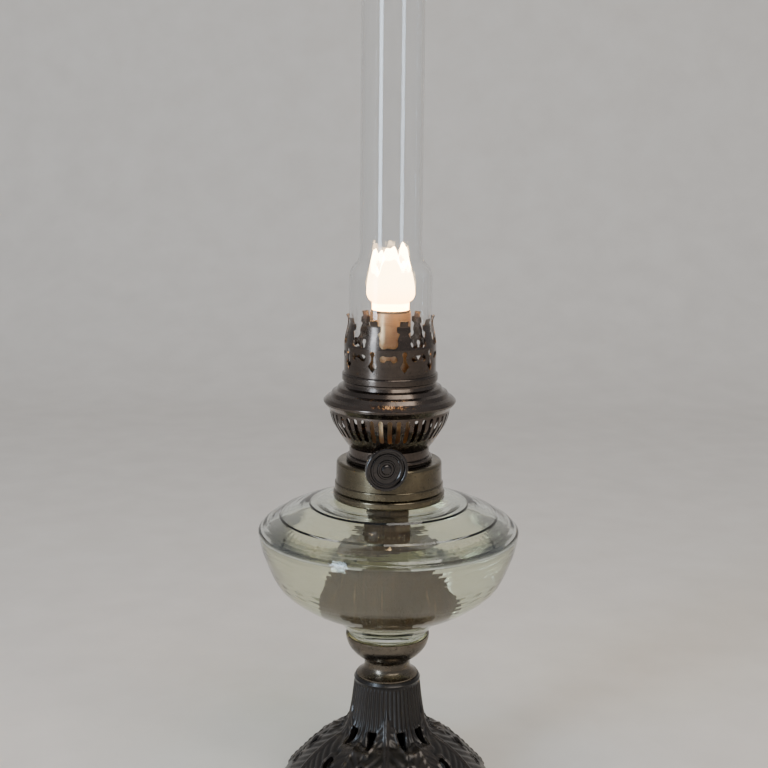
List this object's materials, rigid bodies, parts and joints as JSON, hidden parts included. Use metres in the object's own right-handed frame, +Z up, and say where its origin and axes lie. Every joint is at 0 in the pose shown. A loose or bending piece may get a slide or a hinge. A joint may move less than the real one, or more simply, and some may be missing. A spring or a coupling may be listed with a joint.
{
  "type": "oil table lamp",
  "caption": "Oil table lamp: glass font on a pierced cast base, round-wick burner with slotted basket and crown, tall glass chimney.",
  "frame": {"origin": "centre of the foot's underside, on the table", "axes": "+Z up along the lamp's centre line, the wick knob faces -Y"},
  "size_m": [0.1694, 0.1694, 0.5461],
  "materials": {
    "cast_iron": "dark blacked iron with a soft gloss",
    "steel": "plain turned steel",
    "cup_brass": "greyed brass with a soft gloss",
    "collar_brass": "aged olive-brown brass",
    "burner_brass": "bronzed brass, dark and softly glossy",
    "tube_brass": "heat-browned brass",
    "knob_brass": "dark bronzed brass",
    "cement": "matt plaster",
    "font_glass": "thick clear glass with a faint green tint",
    "chimney_glass": "thin clear glass",
    "wick_cotton": "woven cotton soaked with oil"
  },
  "bodies": {
    "lamp": {"base_casting": "cast_iron", "base_washer": "steel", "base_nut": "steel", "tie_rod": "steel", "stem_cup": "cup_brass", "cup_nut": "steel", "peg_cement": "cement", "glass_font": "font_glass", "collar_cement": "cement", "font_collar": "collar_brass"},
    "thread_ring": {"burner_thread_ring": "burner_brass"},
    "burner": {"burner_neck": "burner_brass", "air_basket": "burner_brass", "gallery_plate": "burner_brass", "chimney_crown": "burner_brass", "wick_tube": "tube_brass", "draught_tube": "tube_brass", "spindle_sleeve": "burner_brass", "spindle_bracket": "burner_brass"},
    "wick_gear": {"spindle": "steel", "wick_wheels": "steel", "wick_knob": "knob_brass"},
    "wick_band": {"wick": "wick_cotton"},
    "chimney": {"glass_chimney": "chimney_glass"}
  },
  "joints": [
    {"name": "burner_rise", "type": "slide", "parent": "lamp", "child": "thread_ring", "axis": [0, 0, 1], "range_m": [0, 0.006]},
    {"name": "burner_unscrew", "type": "hinge", "parent": "thread_ring", "child": "burner", "pos_m": [0, 0, 0.2331], "axis": [0, 0, 1], "range_deg": [0, 1080]},
    {"name": "knob_turn", "type": "hinge", "parent": "burner", "child": "wick_gear", "pos_m": [-0.0168, 0, 0.2382], "axis": [0, -1, 0], "range_deg": [-81, 40]},
    {"name": "wick_slide", "type": "slide", "parent": "burner", "child": "wick_band", "axis": [0, 0, 1], "range_m": [-0.006, 0.003]},
    {"name": "chimney_lift", "type": "slide", "parent": "burner", "child": "chimney", "axis": [0, 0, 1], "range_m": [0, 0.06]}
  ],
  "couplings": [
    {"joint": "burner_rise", "follows": "burner_unscrew", "m_per_rad": 0.000318},
    {"joint": "wick_slide", "follows": "knob_turn", "m_per_rad": 0.0042}
  ]
}
